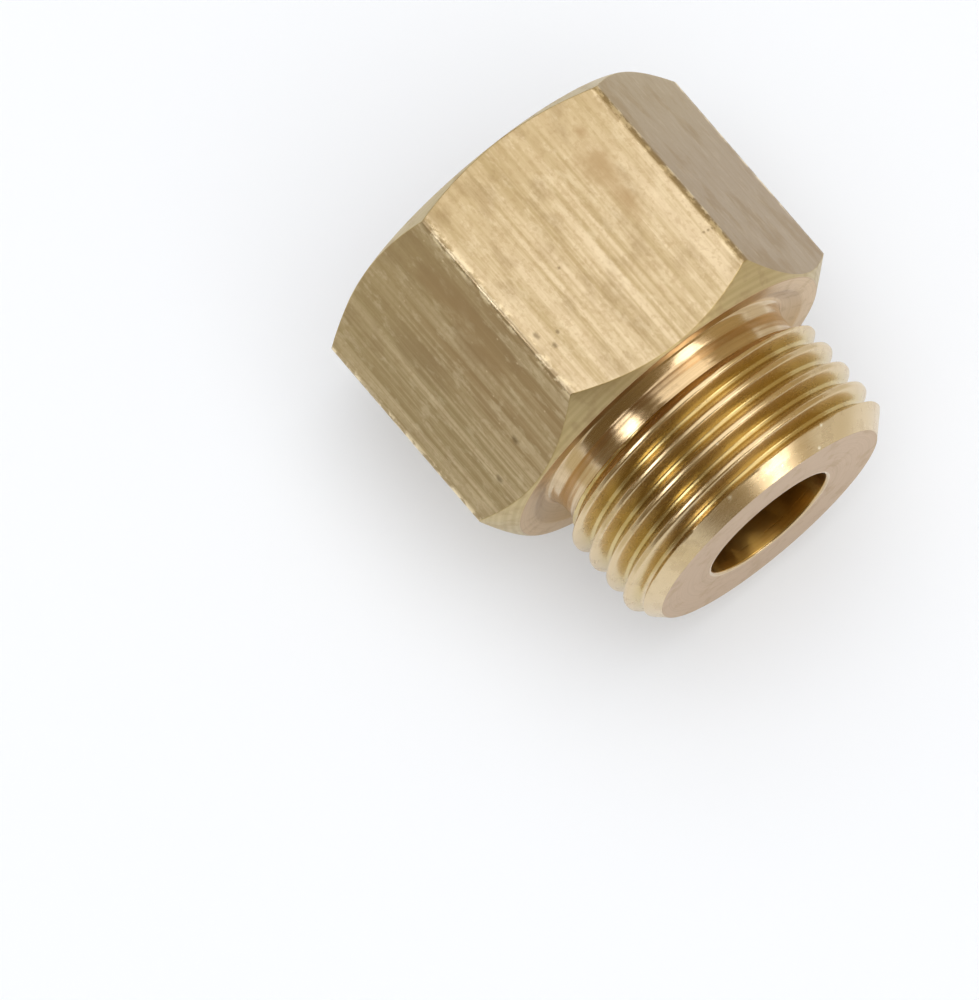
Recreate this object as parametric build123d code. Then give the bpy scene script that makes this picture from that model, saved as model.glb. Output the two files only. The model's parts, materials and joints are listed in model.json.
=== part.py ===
from build123d import *
import math
import os

# A brass inverted flare fitting, turned from hexagon bar as one piece.
# Its axis lies along X, with the male thread towards +X and the flare socket towards -X.
# The origin is on the axis, in the shoulder face that the male thread stands on.
# The fitting lies on a hexagon flat, so one flat faces down (-Z).

# Driving dimensions, in millimetres and degrees

# Hexagon
hex_across_flats = 20.64
hex_length = 14.75
hex_face_inset = 0.12
hex_male_chamfer_angle = 40.0
hex_socket_chamfer_angle = 30.0

# Male threaded stub
male_length = 8.4
male_major_diameter = 17.15
male_pitch = 1.411
male_crest_flat = 1.0
male_root_flat = 0.25
male_crest_phase = 0.33
male_lead_in = 0.9
male_end_chamfer = 1.17

# Neck between the shoulder face and the male thread
neck_length = 1.45
neck_clearance = 0.69
neck_fillet = 0.6

# Flow bore through the whole fitting
bore_diameter = 7.9
bore_edge_break = 0.15

# Female flare socket in the other end
socket_major_diameter = 15.875
socket_pitch = 1.411
socket_crest_flat = 0.7
socket_root_flat = 0.2
socket_mouth_chamfer = 0.45
socket_relief_width = 2.3
socket_relief_clearance = 0.08
socket_floor_thickness = 3.3

# Conical seat on the socket's floor
seat_base_diameter = 12.6
seat_half_angle = 42.0
seat_land = 0.4

# Half angle between the flanks of both threads
thread_flank_angle = 30.0


def thread_depth(pitch, crest_flat, root_flat):
    """Radial depth of a thread between its crest and root flats."""
    return (pitch - crest_flat - root_flat) / (2 * flank_slope)


# Values worked out from the driving dimensions
flank_slope = math.tan(math.radians(thread_flank_angle))
hex_corner_radius = hex_across_flats / math.sqrt(3)
hex_face_radius = hex_across_flats / 2 - hex_face_inset
hex_chamfer_reach = hex_corner_radius - hex_face_radius
hex_male_chamfer = hex_chamfer_reach * math.tan(math.radians(hex_male_chamfer_angle))
hex_socket_chamfer = hex_chamfer_reach * math.tan(math.radians(hex_socket_chamfer_angle))
male_crest_radius = male_major_diameter / 2
male_depth = thread_depth(male_pitch, male_crest_flat, male_root_flat)
male_root_radius = male_crest_radius - male_depth
neck_radius = male_root_radius - neck_clearance
bore_radius = bore_diameter / 2
socket_root_radius = socket_major_diameter / 2
socket_depth = thread_depth(socket_pitch, socket_crest_flat, socket_root_flat)
socket_crest_radius = socket_root_radius - socket_depth
socket_mouth_x = -hex_length
socket_floor_x = -socket_floor_thickness
socket_relief_x = socket_floor_x - socket_relief_width
socket_relief_radius = socket_root_radius + socket_relief_clearance
seat_base_radius = seat_base_diameter / 2
seat_tip_radius = bore_radius + seat_land
seat_height = (seat_base_radius - seat_tip_radius) / math.tan(math.radians(seat_half_angle))
seat_tip_x = socket_floor_x - seat_height


def turned(outline):
    """A solid of revolution about the fitting's axis, from an outline of (place along X, radius) points."""
    return revolve(make_face(outline), axis=Axis.X)


def hexagon_body():
    """The bar's hexagon, with both ends turned to a chamfer that leaves a round face."""
    bar = extrude(Plane.YZ * RegularPolygon(hex_across_flats / 2, 6, major_radius=False), -hex_length)
    turned_ends = turned(Polyline(
        (0, 0),
        (0, hex_face_radius),
        (-hex_male_chamfer, hex_corner_radius),
        (hex_socket_chamfer - hex_length, hex_corner_radius),
        (-hex_length, hex_face_radius),
        (-hex_length, 0),
        close=True,
    ))
    return bar & turned_ends


def male_stub():
    """The stub before threading: filleted neck, lead-in, thread blank and chamfered end."""
    fillet_top = neck_radius + neck_fillet
    outline = Polyline((-neck_fillet, 0), (-neck_fillet, fillet_top), (0, fillet_top))
    outline += RadiusArc((0, fillet_top), (neck_fillet, neck_radius), -neck_fillet)
    outline += Polyline(
        (neck_fillet, neck_radius),
        (neck_length, neck_radius),
        (neck_length + male_lead_in, male_crest_radius),
        (male_length - male_end_chamfer, male_crest_radius),
        (male_length, male_crest_radius - male_end_chamfer),
        (male_length, 0),
        (-neck_fillet, 0),
    )
    return turned(outline)


def bored_hollow():
    """Everything bored out of the inside: socket, thread relief, conical seat and flow bore."""
    mouth_radius = socket_root_radius + socket_mouth_chamfer
    mouth_depth = mouth_radius - socket_crest_radius
    return turned(Polyline(
        (socket_mouth_x, 0),
        (socket_mouth_x, mouth_radius),
        (socket_mouth_x + mouth_depth, socket_crest_radius),
        (socket_relief_x, socket_crest_radius),
        (socket_relief_x, socket_relief_radius),
        (socket_floor_x, socket_relief_radius),
        (socket_floor_x, seat_base_radius),
        (seat_tip_x, seat_tip_radius),
        (seat_tip_x, bore_radius),
        (male_length - bore_edge_break, bore_radius),
        (male_length, bore_radius + bore_edge_break),
        (male_length, 0),
        close=True,
    ))


def helix(pitch, height, radius):
    """A right-hand helix about Z, joined from equal lengths of at most one turn."""
    lengths = math.ceil(height / pitch)
    rise = height / lengths
    turn = 360 * rise / pitch
    one_length = Helix(pitch, rise, radius)
    return Wire([Pos(0, 0, k * rise) * Rot(0, 0, k * turn) * one_length for k in range(lengths)])


def thread_groove(pitch, crest_flat, root_flat, root_radius, outward, start, end, crest_phase):
    """The V-shaped groove of a right-hand thread, from start to end along X at the groove's middle.

    outward is 1 for a male thread, whose groove opens away from the axis, and -1 for a female one.
    crest_phase is the place of one crest along X where the thread passes the +Y side.
    """
    root_half = root_flat / 2
    open_half = pitch / 2 - crest_flat / 4
    open_depth = (open_half - root_half) / flank_slope
    path = helix(pitch, end - start, root_radius)
    section = Plane(path @ 0, x_dir=(outward, 0, 0), z_dir=path % 0) * make_face(Polyline(
        (0, root_half),
        (open_depth, open_half),
        (open_depth, -open_half),
        (0, -root_half),
        close=True,
    ))
    groove = sweep(section, path=path, is_frenet=True)
    turn = 360 * (start - crest_phase - pitch / 2) / pitch
    along_axis = Plane(origin=(start, 0, 0), x_dir=(0, 1, 0), z_dir=(1, 0, 0))
    return Rot(turn, 0, 0) * (along_axis * groove)


def male_groove():
    """The male thread's groove, from the neck to past the chamfered end."""
    return thread_groove(
        male_pitch, male_crest_flat, male_root_flat, male_root_radius, 1,
        neck_length - male_pitch / 4, male_length + male_pitch, male_crest_phase,
    )


def socket_groove():
    """The female thread's groove, from outside the socket's mouth to its relief."""
    return thread_groove(
        socket_pitch, socket_crest_flat, socket_root_flat, socket_root_radius, -1,
        socket_mouth_x - socket_pitch, socket_relief_x + socket_relief_width / 2, socket_mouth_x,
    )


def fitting_body():
    """The whole fitting, one piece of brass."""
    return hexagon_body() + male_stub() - bored_hollow() - male_groove() - socket_groove()


os.makedirs("parts", exist_ok=True)
export_step(fitting_body(), "parts/fitting_body.step")
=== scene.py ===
import json
import math

import bmesh
import bpy
from mathutils import Matrix, Vector
from mathutils import noise as smooth_noise


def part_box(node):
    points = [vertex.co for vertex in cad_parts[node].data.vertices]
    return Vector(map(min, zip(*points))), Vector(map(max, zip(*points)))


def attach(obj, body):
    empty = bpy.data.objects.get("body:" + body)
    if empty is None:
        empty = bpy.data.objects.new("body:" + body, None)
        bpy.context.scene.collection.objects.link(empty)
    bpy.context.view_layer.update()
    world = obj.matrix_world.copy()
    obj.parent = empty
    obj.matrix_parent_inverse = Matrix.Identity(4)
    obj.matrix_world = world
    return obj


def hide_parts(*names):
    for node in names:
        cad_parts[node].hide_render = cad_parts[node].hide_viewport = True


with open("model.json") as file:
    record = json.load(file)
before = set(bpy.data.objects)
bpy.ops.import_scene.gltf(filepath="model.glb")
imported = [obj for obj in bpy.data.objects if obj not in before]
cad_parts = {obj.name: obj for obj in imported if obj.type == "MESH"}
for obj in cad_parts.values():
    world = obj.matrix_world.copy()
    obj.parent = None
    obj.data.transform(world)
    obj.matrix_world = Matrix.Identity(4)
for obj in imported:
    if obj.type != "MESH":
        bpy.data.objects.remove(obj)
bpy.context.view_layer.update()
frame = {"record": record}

# Sizes read from the frame, in millimetres

MM = 0.001
low, high = (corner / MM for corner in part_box("fitting_body"))
mounts = {mount["name"]: mount for mount in frame["record"]["mounts"]}
hex_length = -low.x
male_length = high.x
flat_radius = high.z
male_crest_radius = mounts["male_thread"]["dims"]["r_mm"]
bore_radius = mounts["flow_bore"]["dims"]["r_mm"]
socket_crest_radius = mounts["flare_socket"]["dims"]["r_mm"]

# Sizes of the turned details, in millimetres

corner_wear = (0.05, 0.11, 0.025, 0.05, 0.06, 0.05)
dent_depth = 0.015
dent_spacing = 0.55
dent_start = 0.15
edge_rounding = 0.035
face_inset = 0.12
face_band = 0.6
male_chamfer_slope = math.tan(math.radians(40))
socket_chamfer_slope = math.tan(math.radians(30))
neck_length = 1.45
neck_radius = 7.68
neck_undercut = 0.45
undercut_radius = 9.2
neck_cone_length = 0.7
neck_cone_slope = math.tan(math.radians(20))
neck_bend_rounding = 0.12
undercut_lip_rounding = 0.1
neck_fillet = 0.4
neck_rise = 0.03
neck_ring_height = 0.003
neck_ring_spacing = 0.33
lead_in = 0.5
end_chamfer = 1.17
bore_lip = 0.16
end_face_margin = 0.05
bore_lip_margin = 0.03
thread_pitch = 1.411
thread_flank_slope = math.tan(math.radians(30))
male_crest_flat = 0.27
male_root_radius = 7.8
male_crest_place = 0.33
male_thread_rounding = 0.14
socket_root_radius = 7.9375
socket_crest_flat = 0.6
socket_thread_rounding = 0.05
thread_cone_rounding = 0.05
socket_mouth_radius = 8.3875
socket_relief_radius = 8.0175
socket_relief_start = -5.6
socket_floor = -3.3
seat_base_radius = 6.3
seat_tip_radius = 4.35
seat_tip = -5.466

# How finely the surfaces are divided

corner_steps = 8
facet_reach = 0.4
flat_steps = 32
columns = 6 * (corner_steps + flat_steps)
male_rows_per_turn = 28
socket_rows_per_turn = 12
flat_rows = 76
neck_rows = 28
neck_bend_steps = 6
fillet_steps = 8
lip_steps = 4
bore_rows = 12
weld_distance = 2e-4
sharp_from = math.radians(38)

# Order of the finishes on the mesh

DRAWN, DULL, FACED, SHOULDER, TURNED, THREADED, BORED = range(7)

# Colours of the brass, and places of the marks in millimetres

drawn_light = (0.69, 0.58, 0.41)
drawn_dark = (0.49, 0.385, 0.215)
drawn_deep = (0.36, 0.275, 0.15)
drawn_pale = (0.78, 0.68, 0.50)
# Painted shade for the right-hand flat, tinted a little pinker too
drawn_pink_painted_shade = (0.385, 0.282, 0.175)
stain_brown = (0.42, 0.30, 0.165)
mark_brown = (0.16, 0.11, 0.055)
worn_bright = (0.90, 0.78, 0.56)
nick_bright = (1.0, 0.92, 0.74)
dull_light = (0.56, 0.445, 0.235)
dull_dark = (0.50, 0.39, 0.195)
faced_light = (0.52, 0.34, 0.18)
faced_dark = (0.46, 0.30, 0.148)
shoulder_light = (0.63, 0.435, 0.225)
shoulder_dark = (0.57, 0.39, 0.195)
turned_light = (0.67, 0.515, 0.32)
turned_dark = (0.60, 0.45, 0.265)
thread_crest = (0.71, 0.56, 0.345)
# Painted shade for the thread's roots
thread_root_painted_shade = (0.63, 0.49, 0.225)
# Painted shade inside the bore and the socket
bore_painted_shade_light = (0.55, 0.35, 0.10)
bore_painted_shade_dark = (0.50, 0.31, 0.08)
smooth_shaded_flat_from = 5.7
smooth_shaded_flat_to = 6.1
brown_band_from = 3.4
brown_band_to = 6.4
far_end_from = -14.45
far_end_to = -6.45
corner_wear_from = 11.66
corner_wear_to = 11.84
large_marks = (
    dict(along=-10.35, across=3.3, up=10.32, size=1.3, stretch=1.6),
    dict(along=-7.85, across=3.2, up=10.32, size=0.9, stretch=1.8),
    dict(along=-12.35, across=3.7, up=10.32, size=0.45, stretch=1.3),
    dict(along=-10.75, across=-7.2, up=8.2, size=1.2, stretch=2.6),
    dict(along=-6.85, across=-7.6, up=7.5, size=1.3, stretch=2.4),
    dict(along=-9.05, across=-6.9, up=8.7, size=1.0, stretch=3.0),
)
bright_nicks = (
    dict(along=7.65, across=-2.49, up=7.76, size=0.16, stretch=1.5),
    dict(along=5.12, across=-1.29, up=8.45, size=0.13, stretch=1.5),
    dict(along=8.28, across=3.14, up=6.83, size=0.15, stretch=1.3),
    dict(along=7.48, across=3.91, up=7.35, size=0.15, stretch=1.5),
)
small_marks = (
    dict(along=-7.22, across=-1.99, up=10.32, size=0.13, stretch=1.0),
    dict(along=-5.05, across=-5.3, up=10.32, size=0.22, stretch=1.6),
    dict(along=-2.45, across=-8.75, up=5.48, size=0.3, stretch=1.2),
    dict(along=-1.85, across=-10.2, up=2.95, size=0.28, stretch=1.4),
    dict(along=-3.95, across=5.2, up=10.32, size=0.12, stretch=1.0),
    dict(along=-3.90, across=5.45, up=10.32, size=0.12, stretch=1.0),
    dict(along=-3.85, across=5.7, up=10.32, size=0.11, stretch=1.0),
    dict(along=-4.05, across=-4.9, up=10.32, size=0.2, stretch=1.3),
    dict(along=-4.55, across=-4.3, up=10.32, size=0.16, stretch=1.2),
)


# Geometry Nodes: a thread wound round the fitting's axis

def link(tree, source, target):
    """Joins an output socket to an input socket, or sets the input to a plain value."""
    if isinstance(source, bpy.types.NodeSocket):
        tree.links.new(source, target)
    else:
        target.default_value = source


def calculate(tree, operation, *values):
    """A Math node of that operation on sockets or plain numbers, and its result."""
    node = tree.nodes.new("ShaderNodeMath")
    node.operation = operation
    for value, socket in zip(values, node.inputs):
        link(tree, value, socket)
    return node.outputs[0]


def thread_tree():
    """A right-hand thread about X, cut on a grid whose rows follow the helix.

    Depth is measured from the crests into the metal. Outward is 1 for a male thread and -1 for a female one.
    Each end runs out in a cone of its own length and depth.
    """
    tree = bpy.data.node_groups.new("wound_thread", "GeometryNodeTree")
    tree.interface.new_socket("Geometry", in_out="OUTPUT", socket_type="NodeSocketGeometry")
    for name in (
        "Start", "End", "Pitch", "Crest Place", "Crest Radius", "Crest Flat", "Depth", "Flank Slope",
        "Outward", "Start Cone", "Start Depth", "End Cone", "End Depth", "Rounding", "Cone Rounding",
    ):
        tree.interface.new_socket(name, in_out="INPUT", socket_type="NodeSocketFloat")
    for name in ("Rows", "Rows Per Turn", "Columns"):
        tree.interface.new_socket(name, in_out="INPUT", socket_type="NodeSocketInt")
    tree.interface.new_socket("Material", in_out="INPUT", socket_type="NodeSocketMaterial")
    size = tree.nodes.new("NodeGroupInput").outputs

    grid = tree.nodes.new("GeometryNodeMeshGrid")
    grid.inputs["Size X"].default_value = 1
    grid.inputs["Size Y"].default_value = 1
    tree.links.new(size["Rows"], grid.inputs["Vertices X"])
    tree.links.new(size["Columns"], grid.inputs["Vertices Y"])
    place = tree.nodes.new("ShaderNodeSeparateXYZ")
    tree.links.new(tree.nodes.new("GeometryNodeInputPosition").outputs[0], place.inputs[0])
    along = calculate(tree, "ADD", place.outputs["X"], 0.5)
    around = calculate(tree, "ADD", place.outputs["Y"], 0.5)

    # One extra turn at the start covers the whole length at every angle, and a turn is a whole number of rows
    first = calculate(tree, "SUBTRACT", size["Start"], size["Pitch"])
    turns = calculate(tree, "DIVIDE", calculate(tree, "SUBTRACT", size["Rows"], 1.0), size["Rows Per Turn"])
    span = calculate(tree, "MULTIPLY", turns, size["Pitch"])
    helix_start = calculate(tree, "MULTIPLY_ADD", along, span, first)
    lead = calculate(tree, "MULTIPLY", around, size["Pitch"])
    wound = calculate(tree, "ADD", helix_start, lead)
    x = calculate(tree, "MINIMUM", calculate(tree, "MAXIMUM", wound, size["Start"]), size["End"])

    # Depth of the groove by the distance from the nearest crest
    from_crest = calculate(tree, "SUBTRACT", calculate(tree, "SUBTRACT", x, lead), size["Crest Place"])
    half_pitch = calculate(tree, "MULTIPLY", size["Pitch"], 0.5)
    distance = calculate(tree, "PINGPONG", from_crest, half_pitch)
    past_flat = calculate(tree, "MULTIPLY_ADD", size["Crest Flat"], -0.5, distance)
    flank = calculate(tree, "DIVIDE", past_flat, size["Flank Slope"])
    crested = calculate(tree, "SMOOTH_MAX", flank, 0.0, size["Rounding"])
    groove = calculate(tree, "SMOOTH_MIN", crested, size["Depth"], size["Rounding"])

    # Cones at both ends
    def cone(distance_in, length, depth):
        share = calculate(tree, "SUBTRACT", 1.0, calculate(tree, "DIVIDE", distance_in, length))
        return calculate(tree, "MULTIPLY", share, depth)

    start_cone = cone(calculate(tree, "SUBTRACT", x, size["Start"]), size["Start Cone"], size["Start Depth"])
    end_cone = cone(calculate(tree, "SUBTRACT", size["End"], x), size["End Cone"], size["End Depth"])
    depth = calculate(tree, "SMOOTH_MAX", groove, start_cone, size["Cone Rounding"])
    depth = calculate(tree, "SMOOTH_MAX", depth, end_cone, size["Cone Rounding"])

    inward = calculate(tree, "MULTIPLY", depth, size["Outward"])
    radius = calculate(tree, "SUBTRACT", size["Crest Radius"], inward)
    angle = calculate(tree, "MULTIPLY", around, math.tau)
    point = tree.nodes.new("ShaderNodeCombineXYZ")
    link(tree, x, point.inputs["X"])
    link(tree, calculate(tree, "MULTIPLY", radius, calculate(tree, "COSINE", angle)), point.inputs["Y"])
    link(tree, calculate(tree, "MULTIPLY", radius, calculate(tree, "SINE", angle)), point.inputs["Z"])
    wrap = tree.nodes.new("GeometryNodeSetPosition")
    tree.links.new(grid.outputs["Mesh"], wrap.inputs["Geometry"])
    tree.links.new(point.outputs[0], wrap.inputs["Position"])

    # The seam closes one turn further on, and rows that meet an end plane close into it
    weld = tree.nodes.new("GeometryNodeMergeByDistance")
    weld.inputs["Distance"].default_value = weld_distance
    tree.links.new(wrap.outputs[0], weld.inputs[0])
    realize = tree.nodes.new("GeometryNodeRealizeInstances")
    tree.links.new(weld.outputs[0], realize.inputs[0])
    paint = tree.nodes.new("GeometryNodeSetMaterial")
    tree.links.new(realize.outputs[0], paint.inputs["Geometry"])
    tree.links.new(size["Material"], paint.inputs["Material"])
    tree.links.new(paint.outputs[0], tree.nodes.new("NodeGroupOutput").inputs[0])
    return tree


def wound_thread(tree, name, material, **sizes):
    """A plain mesh of one thread, in millimetres."""
    turns = (sizes["end"] - sizes["start"]) / sizes["pitch"] + 1
    sizes["rows"] = math.ceil(turns * sizes["rows_per_turn"]) + 1
    sizes["columns"] = columns + 1
    carrier = bpy.data.objects.new(name, bpy.data.meshes.new(name))
    bpy.context.scene.collection.objects.link(carrier)
    modifier = carrier.modifiers.new("thread", "NODES")
    modifier.node_group = tree
    identifiers = {item.name: item.identifier for item in tree.interface.items_tree if item.in_out == "INPUT"}
    modifier[identifiers["Material"]] = material
    for size, value in sizes.items():
        modifier[identifiers[size.replace("_", " ").title()]] = value
    evaluated = carrier.evaluated_get(bpy.context.evaluated_depsgraph_get())
    mesh = bpy.data.meshes.new_from_object(evaluated)
    bpy.data.objects.remove(carrier)
    return mesh


def male_thread(tree, material):
    """The male thread, from the neck to the end face."""
    return wound_thread(
        tree, "male_thread", material, start=neck_length, end=male_length, pitch=thread_pitch,
        crest_place=male_crest_place, crest_radius=male_crest_radius, crest_flat=male_crest_flat,
        depth=male_crest_radius - male_root_radius, flank_slope=thread_flank_slope, outward=1.0,
        start_cone=lead_in, start_depth=male_crest_radius - neck_radius - neck_rise,
        end_cone=end_chamfer, end_depth=end_chamfer, rounding=male_thread_rounding,
        cone_rounding=thread_cone_rounding, rows_per_turn=male_rows_per_turn,
    )


def socket_thread(tree, material):
    """The female thread, from the socket's mouth to its relief."""
    mouth_depth = socket_mouth_radius - socket_crest_radius
    return wound_thread(
        tree, "socket_thread", material, start=-hex_length, end=socket_relief_start, pitch=thread_pitch,
        crest_place=-hex_length, crest_radius=socket_crest_radius, crest_flat=socket_crest_flat,
        depth=socket_root_radius - socket_crest_radius, flank_slope=thread_flank_slope, outward=-1.0,
        start_cone=mouth_depth, start_depth=mouth_depth, end_cone=1.0, end_depth=0.0,
        rounding=socket_thread_rounding, cone_rounding=thread_cone_rounding,
        rows_per_turn=socket_rows_per_turn,
    )


# The turned body: rings of points round the axis, one after another along its outline

def hexagon_outline():
    """The bar's section from +Y on, as (angle, corner, whether the point is one of that corner's)."""
    half_facet = math.atan(facet_reach / flat_radius)
    outline = []
    for corner in range(6):
        middle = corner * math.pi / 3
        for step in range(corner_steps):
            outline.append((middle + (2 * step / (corner_steps - 1) - 1) * half_facet, corner, True))
        across = math.tan(math.pi / 6 - half_facet)
        for step in range(1, flat_steps + 1):
            share = 2 * step / (flat_steps + 1) - 1
            outline.append((middle + math.pi / 6 + math.atan(across * share), corner, False))
    return outline


def corner_cut(corner, x):
    """How far wear and knocks have cut a corner of the bar back at that place along it."""
    knock = smooth_noise.noise(Vector((x / dent_spacing, 11.3 * corner, 4.2)))
    return corner_wear[corner] + dent_depth * max(0.0, knock - dent_start)


def bar_radius(angle, corner, cornered, x):
    """The bar's radius at that angle and place, with its corners worn to small facets."""
    from_flat = (angle + math.pi / 6) % (math.pi / 3) - math.pi / 6
    from_middle = math.pi / 6 - abs(from_flat)
    plain = flat_radius / math.cos(from_middle)
    if not cornered:
        return plain
    facet = flat_radius / math.cos(math.pi / 6) - corner_cut(corner, x)
    return min(plain, facet / math.cos(from_flat))


def even_angles():
    """The same number of angles as the hexagon's outline has, evenly spaced."""
    return [math.tau * column / columns for column in range(columns)]


def circle(x, radius):
    """A ring of points on a circle about the axis."""
    return [Vector((x, radius * math.cos(a), radius * math.sin(a))) for a in even_angles()]


def rounded_corner(before, corner, after, reach, steps=4):
    """Points of a small curve that takes the place of a corner between two straight runs."""
    start = corner + (before - corner).normalized() * min(reach, 0.45 * (before - corner).length)
    end = corner + (after - corner).normalized() * min(reach, 0.45 * (after - corner).length)
    points = []
    for step in range(steps + 1):
        t = step / steps
        points.append(start * (1 - t) ** 2 + corner * 2 * t * (1 - t) + end * t ** 2)
    return points


def hexagon_slice(angle, corner, cornered):
    """The hexagon's outline at one angle, from the shoulder face to the socket's end face."""
    face = flat_radius - face_inset

    def chamfered(x, slope):
        radius = bar_radius(angle, corner, cornered, x)
        return radius, (radius - face) * slope

    near_radius, near_rise = chamfered(0, male_chamfer_slope)
    far_radius, far_rise = chamfered(-hex_length, socket_chamfer_slope)
    inner = Vector((0, face - face_band))
    near_face = Vector((0, face))
    near_edge = Vector((-near_rise, near_radius))
    far_edge = Vector((far_rise - hex_length, far_radius))
    far_face = Vector((-hex_length, face))
    far_inner = Vector((-hex_length, face - face_band))
    near = rounded_corner(near_edge, near_face, inner, edge_rounding)
    near.reverse()
    near += rounded_corner(near_face, near_edge, far_edge, edge_rounding)
    far = rounded_corner(near_edge, far_edge, far_face, edge_rounding)
    far += rounded_corner(far_edge, far_face, far_inner, edge_rounding)
    first, last = near[-1], far[0]
    flat = []
    for step in range(1, flat_rows):
        x = first.x + (last.x - first.x) * step / flat_rows
        flat.append(Vector((x, bar_radius(angle, corner, cornered, x))))
    return [Vector((p.x, p.y * math.cos(angle), p.y * math.sin(angle))) for p in near + flat + far]


def hexagon_rings():
    """The hexagon as rings of points along the axis."""
    slices = [hexagon_slice(*point) for point in hexagon_outline()]
    return [list(ring) for ring in zip(*slices)]


def neck_rings():
    """From the thread's start back along the neck, up its cone and out of its undercut to the shoulder."""
    rings = []
    length = neck_length + neck_undercut - neck_cone_length
    for step in range(neck_rows):
        share = 1 - step / neck_rows
        ripple = share * (1 - math.cos(math.tau * (1 - share) * length / neck_ring_spacing))
        x = neck_length - length * (1 - share)
        rings.append(circle(x, neck_radius + neck_rise * share ** 2 - neck_ring_height * ripple))
    cone_angle = math.atan(neck_cone_slope)
    rise = neck_fillet * (1 - math.sin(cone_angle))
    top_x = rise - neck_undercut
    top_radius = neck_radius + (neck_cone_length - rise) * neck_cone_slope
    before = Vector((neck_length, neck_radius))
    bend = Vector((neck_cone_length - neck_undercut, neck_radius))
    after = Vector((top_x, top_radius))
    for point in rounded_corner(before, bend, after, neck_bend_rounding, neck_bend_steps):
        rings.append(circle(point.x, point.y))
    for step in range(fillet_steps + 1):
        turn = cone_angle + (math.pi / 2 - cone_angle) * step / fillet_steps
        x = neck_fillet * (1 - math.sin(turn)) - neck_undercut
        radius = top_radius + neck_fillet * (math.cos(cone_angle) - math.cos(turn))
        rings.append(circle(x, radius))
    lip = Vector((0, undercut_radius))
    shoulder_rim = Vector((0, flat_radius - face_inset))
    for point in rounded_corner(Vector((x, radius)), lip, shoulder_rim, undercut_lip_rounding):
        rings.append(circle(point.x, point.y))
    return rings


def bore_rings():
    """From the end face through the bore, over the seat and up to the socket's relief."""
    face = male_crest_radius - end_chamfer
    middle = (face + bore_radius) / 2
    rim = bore_radius + bore_lip + bore_lip_margin
    rings = [circle(male_length, radius) for radius in (face, face - end_face_margin, middle, rim)]
    for step in range(lip_steps + 1):
        turn = math.pi / 2 * step / lip_steps
        x = male_length - bore_lip * (1 - math.cos(turn))
        rings.append(circle(x, bore_radius + bore_lip * (1 - math.sin(turn))))
    for step in range(1, bore_rows + 1):
        x = male_length - bore_lip + (seat_tip - male_length + bore_lip) * step / bore_rows
        rings.append(circle(x, bore_radius))
    rings += [circle(seat_tip, seat_tip_radius), circle(socket_floor, seat_base_radius)]
    rings += [circle(socket_floor, socket_relief_radius), circle(socket_relief_start, socket_relief_radius)]
    return rings


class Metal:
    """One closed skin, built ring by ring and joined where rings meet."""

    def __init__(self):
        self.mesh = bmesh.new()

    def strip(self, rings, material_of_row):
        """Faces between each ring and the next."""
        rows = [[self.mesh.verts.new(point) for point in ring] for ring in rings]
        for row in range(len(rows) - 1):
            for column in range(columns):
                after = (column + 1) % columns
                corners = (rows[row][column], rows[row][after], rows[row + 1][after], rows[row + 1][column])
                face = self.mesh.faces.new(corners)
                face.material_index = material_of_row(row)

    def add(self, mesh, material):
        """A thread's faces."""
        first = len(self.mesh.faces)
        self.mesh.from_mesh(mesh)
        self.mesh.faces.ensure_lookup_table()
        for face in self.mesh.faces[first:]:
            face.material_index = material


# Shader effects that the finishes share

def effect(name, inputs, outputs):
    """A new shader node group with those named numbers going in and coming out."""
    tree = bpy.data.node_groups.new(name, "ShaderNodeTree")
    for socket in inputs:
        tree.interface.new_socket(socket, in_out="INPUT", socket_type="NodeSocketFloat")
    for socket in outputs:
        tree.interface.new_socket(socket, in_out="OUTPUT", socket_type="NodeSocketFloat")
    return tree, tree.nodes.new("NodeGroupInput").outputs, tree.nodes.new("NodeGroupOutput").inputs


def use(tree, group, **sizes):
    """Places an effect in a material with its own sizes, and gives its outputs."""
    node = tree.nodes.new("ShaderNodeGroup")
    node.node_tree = group
    for size, value in sizes.items():
        link(tree, value, node.inputs[size.replace("_", " ").title()])
    return node.outputs


def place_in_mm(tree):
    """The place on the fitting in millimetres: along the axis, the two ways across it, and out from it."""
    scaled = tree.nodes.new("ShaderNodeVectorMath")
    scaled.operation = "SCALE"
    scaled.inputs["Scale"].default_value = 1 / MM
    tree.links.new(tree.nodes.new("ShaderNodeTexCoord").outputs["Object"], scaled.inputs[0])
    parts = tree.nodes.new("ShaderNodeSeparateXYZ")
    tree.links.new(scaled.outputs[0], parts.inputs[0])
    x, y, z = parts.outputs
    squares = calculate(tree, "MULTIPLY_ADD", y, y, calculate(tree, "MULTIPLY", z, z))
    return x, y, z, calculate(tree, "SQRT", squares)


def vector(tree, x, y, z):
    """A vector from three numbers or sockets."""
    node = tree.nodes.new("ShaderNodeCombineXYZ")
    for value, socket in zip((x, y, z), node.inputs):
        link(tree, value, socket)
    return node.outputs[0]


def noise(tree, x, y, z, detail=2.0, roughness=0.5):
    """Smooth noise from 0 to 1, with forms about one unit across."""
    node = tree.nodes.new("ShaderNodeTexNoise")
    tree.links.new(vector(tree, x, y, z), node.inputs["Vector"])
    node.inputs["Scale"].default_value = 1
    node.inputs["Detail"].default_value = detail
    node.inputs["Roughness"].default_value = roughness
    return node.outputs["Fac"]


def levels(tree, value, low, high):
    """0 up to low, 1 from high on, and smooth between."""
    node = tree.nodes.new("ShaderNodeMapRange")
    node.interpolation_type = "SMOOTHSTEP"
    for source, socket in zip((value, low, high), ("Value", "From Min", "From Max")):
        link(tree, source, node.inputs[socket])
    return node.outputs["Result"]


def mixed(tree, share, first, second):
    """A colour between two others."""
    node = tree.nodes.new("ShaderNodeMix")
    node.data_type = "RGBA"
    link(tree, share, node.inputs["Factor"])
    for colour, socket in ((first, node.inputs[6]), (second, node.inputs[7])):
        link(tree, colour if isinstance(colour, bpy.types.NodeSocket) else (*colour, 1), socket)
    return node.outputs[2]


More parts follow.
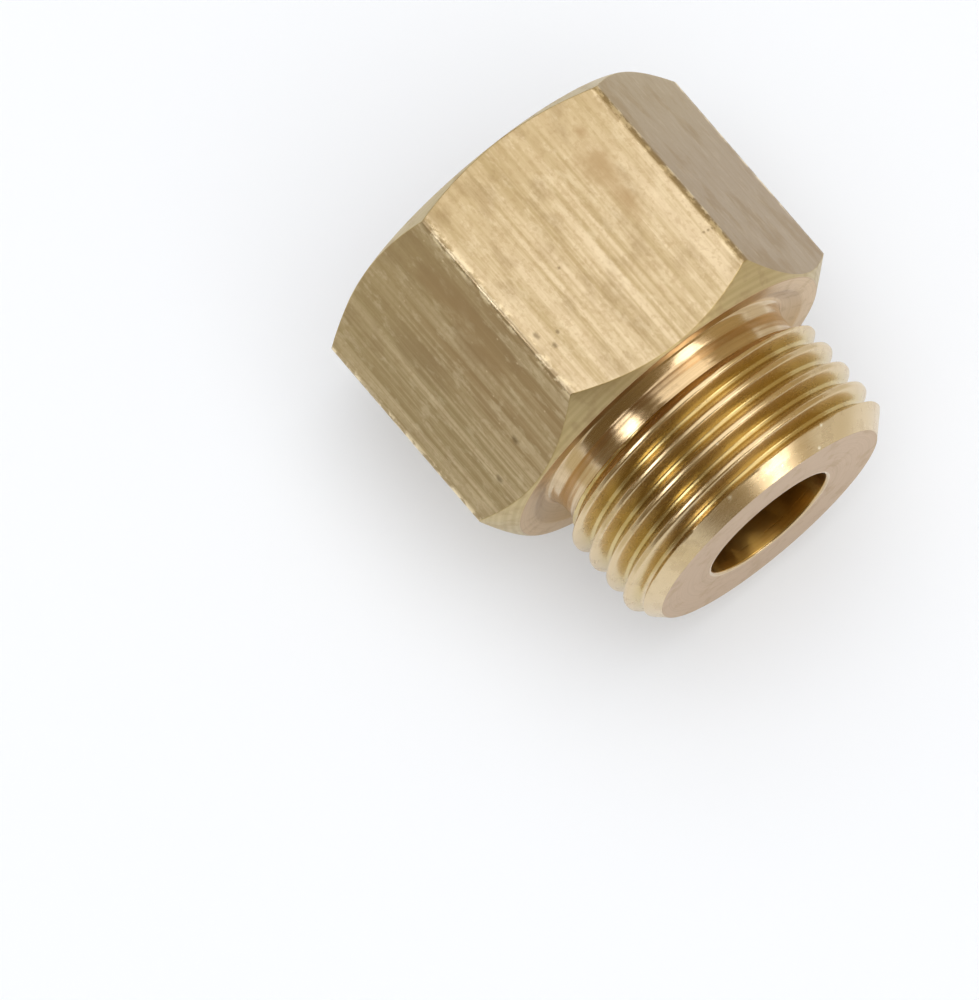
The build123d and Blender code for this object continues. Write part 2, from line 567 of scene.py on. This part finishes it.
def drawn_streaks_effect():
    """Long lines along the bar, as the die leaves them: a fine set and a broad one."""
    tree, size, out = effect("drawn_streaks", ("Fine Width", "Broad Width", "Length"), ("Fine", "Broad"))
    x, y, z, radius = place_in_mm(tree)
    along = calculate(tree, "DIVIDE", x, size["Length"])
    for width, target, detail in (("Fine Width", "Fine", 3.0), ("Broad Width", "Broad", 2.0)):
        across = [calculate(tree, "DIVIDE", value, size[width]) for value in (y, z)]
        tree.links.new(noise(tree, along, *across, detail, 0.6), out[target])
    return tree


def stains_effect():
    """Cloudy patches. Amount is the share of the surface that they cover."""
    tree, size, out = effect("stains", ("Size", "Stretch", "Amount"), ("Mask",))
    x, y, z, radius = place_in_mm(tree)
    along = calculate(tree, "DIVIDE", x, calculate(tree, "MULTIPLY", size["Size"], size["Stretch"]))
    across = [calculate(tree, "DIVIDE", value, size["Size"]) for value in (y, z)]
    cloud = noise(tree, along, *across, 5.0, 0.62)
    low = calculate(tree, "MULTIPLY_ADD", size["Amount"], -0.4, 0.68)
    tree.links.new(levels(tree, cloud, low, calculate(tree, "ADD", low, 0.14)), out["Mask"])
    return tree


def pits_effect():
    """Small round marks. Share is how many of the places have one."""
    tree, size, out = effect("pits", ("Spacing", "Size", "Share"), ("Mask",))
    x, y, z, radius = place_in_mm(tree)
    cells = tree.nodes.new("ShaderNodeTexVoronoi")
    cells.inputs["Scale"].default_value = 1
    spaced = [calculate(tree, "DIVIDE", value, size["Spacing"]) for value in (x, y, z)]
    tree.links.new(vector(tree, *spaced), cells.inputs["Vector"])
    reach = calculate(tree, "DIVIDE", size["Size"], size["Spacing"])
    inside = calculate(tree, "SUBTRACT", 1.0, levels(tree, cells.outputs["Distance"], 0.0, reach))
    chosen = tree.nodes.new("ShaderNodeSeparateColor")
    tree.links.new(cells.outputs["Color"], chosen.inputs[0])
    kept = calculate(tree, "LESS_THAN", chosen.outputs[0], size["Share"])
    tree.links.new(calculate(tree, "MULTIPLY", inside, kept), out["Mask"])
    return tree


def turning_lines_effect():
    """Fine rings round the axis, as a turning tool leaves them."""
    tree, size, out = effect("turning_lines", ("Spacing",), ("Lines",))
    x, y, z, radius = place_in_mm(tree)
    along = calculate(tree, "DIVIDE", x, size["Spacing"])
    outward = calculate(tree, "DIVIDE", radius, size["Spacing"])
    tree.links.new(noise(tree, along, outward, 0.0, 2.0, 0.6), out["Lines"])
    return tree


def mark_effect():
    """One soft mark at a chosen place, longer along the axis than across it by Stretch."""
    tree, size, out = effect("mark", ("Along", "Across", "Up", "Size", "Stretch"), ("Mask",))
    x, y, z, radius = place_in_mm(tree)
    away = [
        calculate(tree, "DIVIDE", calculate(tree, "SUBTRACT", x, size["Along"]), size["Stretch"]),
        calculate(tree, "SUBTRACT", y, size["Across"]),
        calculate(tree, "SUBTRACT", z, size["Up"]),
    ]
    length = tree.nodes.new("ShaderNodeVectorMath")
    length.operation = "LENGTH"
    tree.links.new(vector(tree, *away), length.inputs[0])
    close = [calculate(tree, "DIVIDE", value, size["Size"]) for value in (x, y, z)]
    ragged = calculate(tree, "MULTIPLY", noise(tree, *close, 4.0, 0.65), size["Size"])
    distance = calculate(tree, "ADD", length.outputs["Value"], ragged)
    reach = calculate(tree, "MULTIPLY", size["Size"], 1.5)
    fade = levels(tree, distance, calculate(tree, "MULTIPLY", size["Size"], 0.6), reach)
    tree.links.new(calculate(tree, "SUBTRACT", 1.0, fade), out["Mask"])
    return tree


drawn_streaks = drawn_streaks_effect()
stains = stains_effect()
pits = pits_effect()
turning_lines = turning_lines_effect()
mark = mark_effect()


# Finishes

def metal_finish(name):
    """An empty metal material, its node tree and its shader."""
    material = bpy.data.materials.new(name)
    material.use_nodes = True
    shader = material.node_tree.nodes["Principled BSDF"]
    shader.inputs["Metallic"].default_value = 1
    return material, material.node_tree, shader


def roughen(tree, shader, height, depth, strength):
    """Turns a height into relief of that depth in millimetres."""
    bump = tree.nodes.new("ShaderNodeBump")
    bump.inputs["Distance"].default_value = depth * MM
    bump.inputs["Strength"].default_value = strength
    tree.links.new(height, bump.inputs["Height"])
    tree.links.new(bump.outputs[0], shader.inputs["Normal"])


def drawn_brass():
    """The hexagon's flats: streaks from drawing, brown stains, dark pits, bright worn corners, and painted
    shade that darkens the right-hand flat.
    """
    material, tree, shader = metal_finish("drawn_brass")
    x, y, z, radius = place_in_mm(tree)
    streaks = use(tree, drawn_streaks, fine_width=0.29, broad_width=1.1, length=20.0)
    broad = calculate(tree, "MULTIPLY", streaks["Broad"], 0.45)
    together = calculate(tree, "MULTIPLY_ADD", streaks["Fine"], 0.55, broad)
    smoother_shaded = levels(tree, y, smooth_shaded_flat_from, smooth_shaded_flat_to)
    not_rough = levels(tree, y, -smooth_shaded_flat_to, -smooth_shaded_flat_from)
    strength = calculate(tree, "MULTIPLY_ADD", not_rough, -0.1, 1.0)
    strength = calculate(tree, "MULTIPLY_ADD", smoother_shaded, -0.55, strength)
    streak = calculate(tree, "MULTIPLY", levels(tree, together, 0.38, 0.66), strength)
    colour = mixed(tree, streak, drawn_light, drawn_dark)
    rough_side = calculate(tree, "SUBTRACT", 1.0, not_rough)
    under_edge = calculate(tree, "MULTIPLY", levels(tree, z, brown_band_from, brown_band_to), rough_side)
    deep = calculate(tree, "MULTIPLY", levels(tree, together, 0.46, 0.60), rough_side)
    colour = mixed(tree, calculate(tree, "MULTIPLY", deep, 0.42), colour, drawn_deep)
    band = calculate(tree, "MULTIPLY_ADD", levels(tree, streaks["Broad"], 0.42, 0.62), 0.5, 0.3)
    colour = mixed(tree, calculate(tree, "MULTIPLY", band, under_edge), colour, stain_brown)
    # Painted shade: the right-hand flat, which mirrors shadowed floor, is tinted darker and pinker
    colour = mixed(tree, calculate(tree, "MULTIPLY", smoother_shaded, 0.8), colour, drawn_pink_painted_shade)

    far_end = calculate(tree, "SUBTRACT", 1.0, levels(tree, x, far_end_from, far_end_to))
    colour = mixed(tree, calculate(tree, "MULTIPLY", far_end, 0.55), colour, drawn_dark)
    cloud = use(tree, stains, size=1.7, stretch=1.8, amount=0.45)["Mask"]
    colour = mixed(tree, calculate(tree, "MULTIPLY", cloud, 0.2), colour, stain_brown)
    mottle = use(tree, stains, size=0.75, stretch=1.7, amount=0.5)["Mask"]
    colour = mixed(tree, calculate(tree, "MULTIPLY", mottle, 0.16), colour, stain_brown)
    pale = use(tree, stains, size=0.6, stretch=2.2, amount=0.42)["Mask"]
    pale = calculate(tree, "MULTIPLY", pale, calculate(tree, "MULTIPLY", strength, 0.35))
    colour = mixed(tree, pale, colour, drawn_pale)
    speckle = use(tree, stains, size=0.26, stretch=1.3, amount=0.45)["Mask"]
    colour = mixed(tree, calculate(tree, "MULTIPLY", speckle, 0.3), colour, stain_brown)
    for places, brown, share in ((large_marks, stain_brown, 0.8), (small_marks, mark_brown, 0.6)):
        for place in places:
            spot = use(tree, mark, **place)["Mask"]
            colour = mixed(tree, calculate(tree, "MULTIPLY", spot, share), colour, brown)
    pit = use(tree, pits, spacing=1.5, size=0.11, share=0.3)["Mask"]
    colour = mixed(tree, calculate(tree, "MULTIPLY", pit, 0.5), colour, mark_brown)

    fleck = use(tree, pits, spacing=0.55, size=0.1, share=0.3)["Mask"]
    fleck = calculate(tree, "MULTIPLY", fleck, calculate(tree, "MULTIPLY", under_edge, 0.5))
    colour = mixed(tree, fleck, colour, worn_bright)
    corner = levels(tree, radius, corner_wear_from, corner_wear_to)
    worn = use(tree, stains, size=0.5, stretch=1.6, amount=0.55)["Mask"]
    colour = mixed(tree, calculate(tree, "MULTIPLY", corner, worn), colour, worn_bright)
    tree.links.new(colour, shader.inputs["Base Color"])

    rough = calculate(tree, "MULTIPLY_ADD", streak, 0.10, 0.36)
    rough = calculate(tree, "MULTIPLY_ADD", cloud, 0.08, rough)
    tree.links.new(rough, shader.inputs["Roughness"])
    height = calculate(tree, "MULTIPLY_ADD", pit, -1.5, calculate(tree, "MULTIPLY", together, strength))
    roughen(tree, shader, height, 0.03, 0.35)
    return material


def dull_brass():
    """The hexagon's chamfers: a dull olive turned finish."""
    material, tree, shader = metal_finish("dull_brass")
    lines = use(tree, turning_lines, spacing=0.2)["Lines"]
    haze = use(tree, stains, size=0.9, stretch=1.0, amount=0.5)["Mask"]
    colour = mixed(tree, levels(tree, lines, 0.3, 0.75), dull_light, dull_dark)
    colour = mixed(tree, calculate(tree, "MULTIPLY", haze, 0.3), colour, stain_brown)
    tree.links.new(colour, shader.inputs["Base Color"])
    rough = calculate(tree, "MULTIPLY_ADD", haze, 0.08, calculate(tree, "MULTIPLY_ADD", lines, 0.1, 0.3))
    tree.links.new(rough, shader.inputs["Roughness"])
    roughen(tree, shader, calculate(tree, "ADD", haze, lines), 0.008, 0.3)
    return material


def faced_brass(name, light, dark):
    """A flat face: satin and a little pink, with fine rings and a few specks."""
    material, tree, shader = metal_finish(name)
    lines = use(tree, turning_lines, spacing=0.11)["Lines"]
    haze = use(tree, stains, size=1.2, stretch=1.0, amount=0.45)["Mask"]
    colour = mixed(tree, levels(tree, lines, 0.3, 0.75), light, dark)
    colour = mixed(tree, calculate(tree, "MULTIPLY", haze, 0.25), colour, stain_brown)
    speck = use(tree, pits, spacing=0.9, size=0.1, share=0.25)["Mask"]
    colour = mixed(tree, calculate(tree, "MULTIPLY", speck, 0.6), colour, mark_brown)
    tree.links.new(colour, shader.inputs["Base Color"])
    rough = calculate(tree, "MULTIPLY_ADD", haze, 0.08, calculate(tree, "MULTIPLY_ADD", lines, 0.1, 0.24))
    tree.links.new(rough, shader.inputs["Roughness"])
    roughen(tree, shader, lines, 0.006, 0.3)
    return material


def turned_brass():
    """The neck and the bore's lip: bright, with fine rings and a little haze."""
    material, tree, shader = metal_finish("turned_brass")
    lines = use(tree, turning_lines, spacing=0.09)["Lines"]
    haze = use(tree, stains, size=1.6, stretch=1.0, amount=0.45)["Mask"]
    colour = mixed(tree, levels(tree, lines, 0.3, 0.75), turned_light, turned_dark)
    colour = mixed(tree, calculate(tree, "MULTIPLY", haze, 0.2), colour, stain_brown)
    speck = use(tree, pits, spacing=1.1, size=0.09, share=0.2)["Mask"]
    colour = mixed(tree, calculate(tree, "MULTIPLY", speck, 0.6), colour, mark_brown)
    tree.links.new(colour, shader.inputs["Base Color"])
    rough = calculate(tree, "MULTIPLY_ADD", haze, 0.08, calculate(tree, "MULTIPLY_ADD", lines, 0.08, 0.13))
    tree.links.new(rough, shader.inputs["Roughness"])
    roughen(tree, shader, lines, 0.006, 0.3)
    return material


def threaded_brass():
    """The male thread: olive gold on the flanks, with painted shade that darkens the roots, and pale specks
    on the crests.
    """
    material, tree, shader = metal_finish("threaded_brass")
    x, y, z, radius = place_in_mm(tree)
    lines = use(tree, turning_lines, spacing=0.12)["Lines"]
    haze = use(tree, stains, size=1.1, stretch=1.0, amount=0.5)["Mask"]
    on_crest = levels(tree, radius, male_root_radius, male_crest_radius)
    on_chamfer = levels(tree, x, male_length - end_chamfer - 0.1, male_length - end_chamfer + 0.1)
    height = calculate(tree, "MAXIMUM", on_crest, on_chamfer)
    # Painted shade: the colour goes darker from the crests down into the roots
    colour = mixed(tree, height, thread_root_painted_shade, thread_crest)
    colour = mixed(tree, calculate(tree, "MULTIPLY", haze, 0.2), colour, stain_brown)
    for place in bright_nicks:
        nick = use(tree, mark, **place)["Mask"]
        colour = mixed(tree, nick, colour, nick_bright)
    speck = use(tree, pits, spacing=0.8, size=0.12, share=0.25)["Mask"]
    speck = calculate(tree, "MULTIPLY", speck, calculate(tree, "MULTIPLY", height, 0.6))
    colour = mixed(tree, speck, colour, worn_bright)
    tree.links.new(colour, shader.inputs["Base Color"])
    rough = calculate(tree, "MULTIPLY_ADD", haze, 0.03, calculate(tree, "MULTIPLY_ADD", lines, 0.1, 0.2))
    tree.links.new(rough, shader.inputs["Roughness"])
    roughen(tree, shader, lines, 0.006, 0.3)
    return material


def bore_brass_painted_shade():
    """Inside the bore and the socket: brass coloured deep brown as painted shade, with coarser rings."""
    material, tree, shader = metal_finish("bore_brass_painted_shade")
    lines = use(tree, turning_lines, spacing=0.16)["Lines"]
    haze = use(tree, stains, size=1.4, stretch=1.0, amount=0.5)["Mask"]
    colour = mixed(tree, levels(tree, lines, 0.3, 0.75), bore_painted_shade_light, bore_painted_shade_dark)
    colour = mixed(tree, calculate(tree, "MULTIPLY", haze, 0.35), colour, bore_painted_shade_dark)
    tree.links.new(colour, shader.inputs["Base Color"])
    rough = calculate(tree, "MULTIPLY_ADD", haze, 0.12, calculate(tree, "MULTIPLY_ADD", lines, 0.1, 0.24))
    tree.links.new(rough, shader.inputs["Roughness"])
    roughen(tree, shader, lines, 0.012, 0.4)
    return material


drawn = drawn_brass()
dull = dull_brass()
faced = faced_brass("faced_brass", faced_light, faced_dark)
shoulder = faced_brass("shoulder_brass", shoulder_light, shoulder_dark)
turned = turned_brass()
threaded = threaded_brass()
bored = bore_brass_painted_shade()


def fitting():
    """The whole fitting as one mesh object in metres."""
    metal = Metal()
    rings = hexagon_rings()
    face_rows = 4
    chamfer_rows = 9

    def hexagon_finish(row):
        from_end = min(row, len(rings) - 2 - row)
        if from_end >= chamfer_rows:
            return DRAWN
        return DULL if from_end >= face_rows else FACED

    metal.strip(rings, hexagon_finish)
    neck = neck_rings()
    undercut_rows = 10
    undercut_from = len(neck) - undercut_rows
    metal.strip(neck, lambda row: TURNED if row < undercut_from else SHOULDER)
    metal.strip([neck[-1], rings[0]], lambda row: SHOULDER)
    metal.strip([rings[-1], circle(-hex_length, socket_mouth_radius)], lambda row: FACED)
    end_face_rows = 3
    lip_end = end_face_rows + lip_steps

    def hollow_finish(row):
        if row < end_face_rows:
            return FACED
        return TURNED if row < lip_end else BORED

    metal.strip(bore_rings(), hollow_finish)
    tree = thread_tree()
    metal.add(male_thread(tree, threaded), THREADED)
    metal.add(socket_thread(tree, bored), BORED)
    bmesh.ops.remove_doubles(metal.mesh, verts=metal.mesh.verts, dist=weld_distance)

    # The relief's wall joins the run-out of the female thread
    open_edges = [edge for edge in metal.mesh.edges if edge.is_boundary]
    bmesh.ops.bridge_loops(metal.mesh, edges=open_edges)
    bmesh.ops.recalc_face_normals(metal.mesh, faces=metal.mesh.faces)
    for face in metal.mesh.faces:
        face.smooth = True
    metal.mesh.transform(Matrix.Scale(MM, 4))

    mesh = bpy.data.meshes.new("fitting")
    metal.mesh.to_mesh(mesh)
    metal.mesh.free()
    for material in (drawn, dull, faced, shoulder, turned, threaded, bored):
        mesh.materials.append(material)
    mesh.set_sharp_from_angle(angle=sharp_from)
    piece = bpy.data.objects.new("fitting", mesh)
    bpy.context.scene.collection.objects.link(piece)
    return piece


body = fitting()
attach(body, "root")
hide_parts("fitting_body")


# Floor, light and camera, in metres and radians

floor_size = 3
floor_pale = (0.89, 0.903, 0.925)
floor_glow = 0.3
card_size = (0.16, 0.11)
card_height = 0.0002
room_pale = (0.405, 0.417, 0.435)
room_left = (0.20, 0.145, 0.07)
room_right = (0.50, 0.39, 0.21)
camera_place = (0.22520, -0.23068, 0.99543)
camera_heading = 0.8015
camera_tilt = 0.3076
camera_roll = 0.0850
camera_lens = 709.5
camera_sensor = 36


def floor():
    """A plain pale floor that the fitting lies on."""
    bpy.ops.mesh.primitive_plane_add(size=floor_size, location=(0, 0, low.z * MM))
    plane = bpy.context.object
    plane.name = "floor"
    material = bpy.data.materials.new("pale_floor")
    material.use_nodes = True
    tree = material.node_tree
    nodes, links = tree.nodes, tree.links
    shader = nodes["Principled BSDF"]
    shader.inputs["Base Color"].default_value = (*floor_pale, 1)
    shader.inputs["Roughness"].default_value = 0.7
    glow = nodes.new("ShaderNodeEmission")
    glow.inputs["Color"].default_value = (1, 1, 1, 1)
    ray = nodes.new("ShaderNodeLightPath").outputs
    seen = calculate(tree, "MAXIMUM", ray["Is Camera Ray"], ray["Is Glossy Ray"])
    seen = calculate(tree, "MAXIMUM", seen, ray["Is Transmission Ray"])
    mix = nodes.new("ShaderNodeMixShader")
    links.new(calculate(tree, "MULTIPLY", seen, floor_glow), mix.inputs[0])
    links.new(shader.outputs[0], mix.inputs[1])
    links.new(glow.outputs[0], mix.inputs[2])
    links.new(mix.outputs[0], nodes["Material Output"].inputs["Surface"])
    plane.data.materials.append(material)


def shade_card_in_reflections(name, side, colour):
    """A grey card on the floor beside the fitting that shows only in its reflections: painted shade that
    darkens the floor the metal mirrors there.
    """
    bpy.ops.mesh.primitive_plane_add(size=1, location=(0, side, low.z * MM + card_height))
    card = bpy.context.object
    card.name = name
    card.data.transform(Matrix.Diagonal((*card_size, 1, 1)))
    material = bpy.data.materials.new(name)
    material.use_nodes = True
    shader = material.node_tree.nodes["Principled BSDF"]
    shader.inputs["Base Color"].default_value = (*colour, 1)
    shader.inputs["Roughness"].default_value = 0.8
    card.data.materials.append(material)
    card.visible_camera = False
    card.visible_diffuse = False
    card.visible_shadow = False
    card.visible_transmission = False


def softbox(name, azimuth, elevation, distance, size, brightness, mirrored=True, lighting=True):
    """A rectangular light that faces the fitting from that direction, in degrees."""
    light = bpy.data.lights.new(name, "AREA")
    light.shape = "RECTANGLE"
    light.size, light.size_y = size
    light.energy = brightness * math.pi * size[0] * size[1]
    lamp = bpy.data.objects.new(name, light)
    a, e = math.radians(azimuth), math.radians(elevation)
    direction = Vector((math.cos(e) * math.cos(a), math.cos(e) * math.sin(a), math.sin(e)))
    lamp.location = direction * distance
    lamp.rotation_euler = direction.to_track_quat("Z", "Y").to_euler()
    lamp.visible_glossy = mirrored
    lamp.visible_diffuse = lighting
    bpy.context.scene.collection.objects.link(lamp)


def surroundings():
    """Pale grey light all round, which the metal mirrors as a dim warm room."""
    world = bpy.data.worlds.new("studio")
    bpy.context.scene.world = world
    world.use_nodes = True
    nodes, links = world.node_tree.nodes, world.node_tree.links
    pale = nodes["Background"]
    pale.inputs["Color"].default_value = (*room_pale, 1)
    direction = nodes.new("ShaderNodeSeparateXYZ")
    links.new(nodes.new("ShaderNodeTexCoord").outputs["Generated"], direction.inputs[0])
    towards_right = levels(world.node_tree, direction.outputs["Y"], -0.6, 0.9)
    dim = nodes.new("ShaderNodeBackground")
    links.new(mixed(world.node_tree, towards_right, room_left, room_right), dim.inputs["Color"])
    mix = nodes.new("ShaderNodeMixShader")
    links.new(nodes.new("ShaderNodeLightPath").outputs["Is Glossy Ray"], mix.inputs[0])
    links.new(pale.outputs[0], mix.inputs[1])
    links.new(dim.outputs[0], mix.inputs[2])
    links.new(mix.outputs[0], nodes["World Output"].inputs["Surface"])


def camera():
    """The photograph's view: nearly from above, with a long lens."""
    lens = bpy.data.cameras.new("camera")
    lens.sensor_width = camera_sensor
    lens.lens = camera_lens
    eye = bpy.data.objects.new("camera", lens)
    heading = Matrix.Rotation(camera_heading, 4, "Z")
    tilt = Matrix.Rotation(camera_tilt, 4, "X")
    roll = Matrix.Rotation(camera_roll, 4, "Z")
    eye.matrix_world = Matrix.Translation(camera_place) @ heading @ tilt @ roll
    bpy.context.scene.collection.objects.link(eye)
    bpy.context.scene.camera = eye


floor()
# Painted reflections: the left card darkens what the left flat mirrors, and the right card stands for the
# shadowed floor that the right flat mirrors
shade_card_in_reflections("reflected_shade_left", -0.085, (0.66, 0.61, 0.46))
shade_card_in_reflections("reflected_shade_right", 0.085, (0.69, 0.645, 0.56))
softbox("window_above", 55, 57, 0.6, (0.3, 0.26), 2.8, lighting=False)
softbox("window_left", -107, 41, 0.6, (0.22, 0.17), 4.6, lighting=False)
softbox("window_front", 16, 12, 0.6, (0.2, 0.1), 4.4, lighting=False)
softbox("ceiling", 146, 75, 0.6, (0.46, 0.62), 1.1)
softbox("overhead", -30, 80, 1.5, (1.8, 1.8), 1.57, mirrored=False)
surroundings()
camera()
bpy.context.scene.view_settings.view_transform = "Standard"
